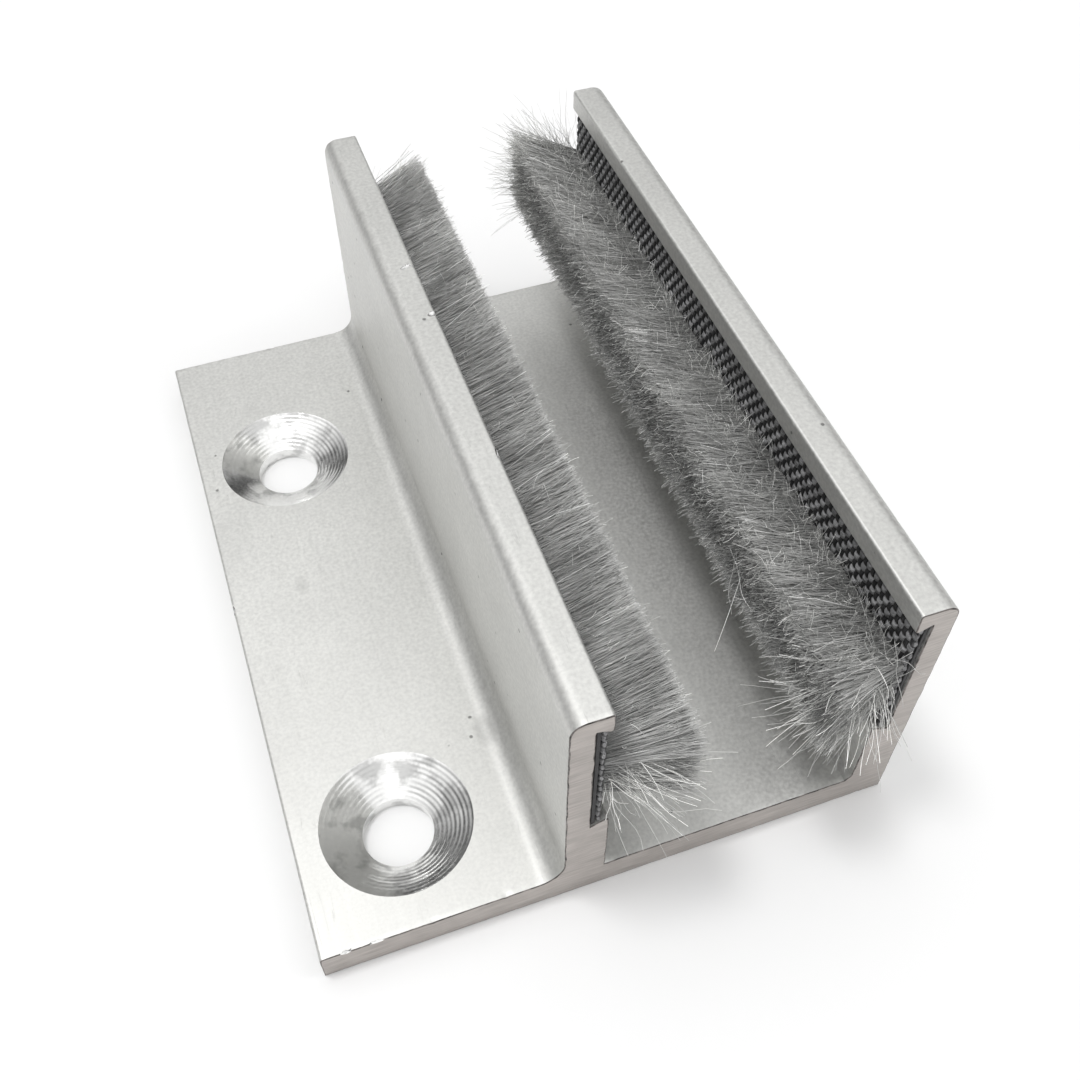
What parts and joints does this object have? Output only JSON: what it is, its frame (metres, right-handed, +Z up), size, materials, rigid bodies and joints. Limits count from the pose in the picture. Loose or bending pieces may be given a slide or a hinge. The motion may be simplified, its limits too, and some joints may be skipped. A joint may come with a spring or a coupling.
{
  "type": "sliding door floor guide",
  "caption": "Extruded aluminium floor guide for a sliding door: a base plate with a countersunk screw flange and an upright channel lined with woven pile strips.",
  "frame": {"origin": "middle of the footprint, on the underside of the base plate", "axes": "+X across the profile, from the screw flange towards the channel; +Y along the extrusion, away from the end with the nearer screw hole; +Z up"},
  "size_m": [0.045, 0.0652, 0.025],
  "materials": {
    "anodised_aluminium": "satin silver anodised, with bare sawn ends and bare drilled countersinks",
    "back_resin": "thin matt resin film on the back of the weave",
    "backing_weave": "plain weave of dark grey and light grey polypropylene yarns",
    "pile": "dense cut pile of mid-grey polypropylene filaments"
  },
  "bodies": {
    "profile": {"channel_profile": "anodised_aluminium"},
    "left_strip": {"left_back_coating": "back_resin", "left_woven_backing": "backing_weave", "left_pile": "pile"},
    "right_strip": {"right_back_coating": "back_resin", "right_woven_backing": "backing_weave", "right_pile": "pile"}
  },
  "joints": [
    {"name": "left_strip_slide", "type": "slide", "parent": "profile", "child": "left_strip", "axis": [0, 1, 0], "range_m": [-0.06, 0.06]},
    {"name": "right_strip_slide", "type": "slide", "parent": "profile", "child": "right_strip", "axis": [0, 1, 0], "range_m": [-0.06, 0.06]}
  ]
}
